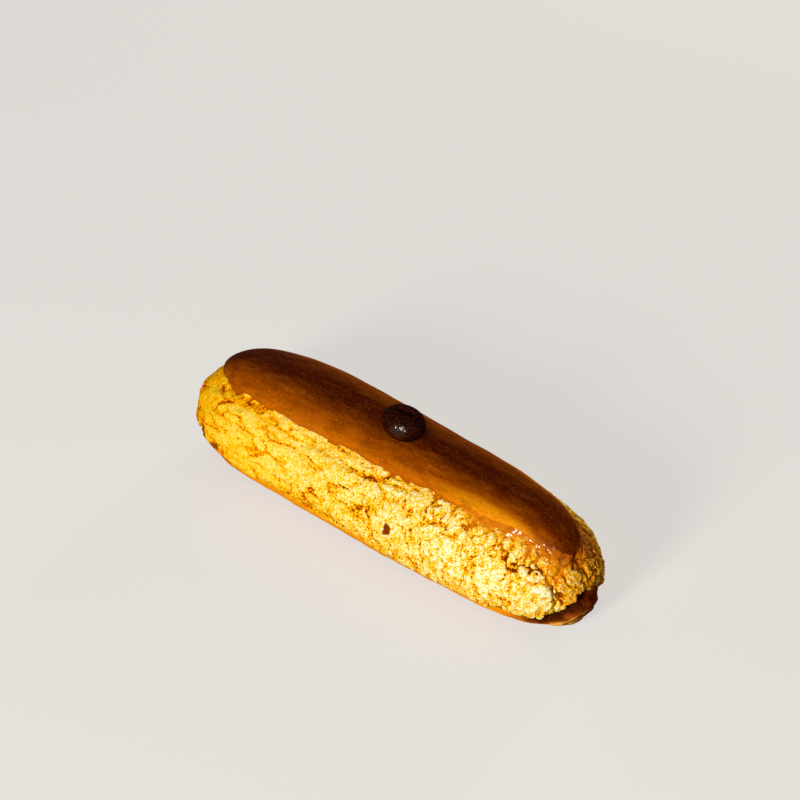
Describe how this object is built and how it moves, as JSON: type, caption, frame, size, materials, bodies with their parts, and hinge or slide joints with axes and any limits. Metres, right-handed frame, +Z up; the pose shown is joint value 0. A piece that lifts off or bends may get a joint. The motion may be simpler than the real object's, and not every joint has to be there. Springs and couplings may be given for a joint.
{
  "type": "eclair",
  "caption": "Coffee eclair: long choux bun under a crackled golden biscuit crust, glossy coffee icing along its top and a chocolate coffee bean on the icing.",
  "frame": {"origin": "on the surface it rests on, under the middle of the bun's length", "axes": "+X along the eclair towards its blunter, craggier end; -Y is the side with the chip in its crust; +Z up"},
  "size_m": [0.1402, 0.0404, 0.0364],
  "materials": {
    "biscuit_crust": "dry crackled golden crumb, browner in the cracks and along the base",
    "coffee_icing": "smooth satin fondant, caramel brown",
    "dark_chocolate": "glossy wrinkled dark chocolate"
  },
  "bodies": {
    "root": {"choux_bun": "biscuit_crust", "coffee_icing": "coffee_icing", "coffee_bean": "dark_chocolate"}
  },
  "joints": []
}
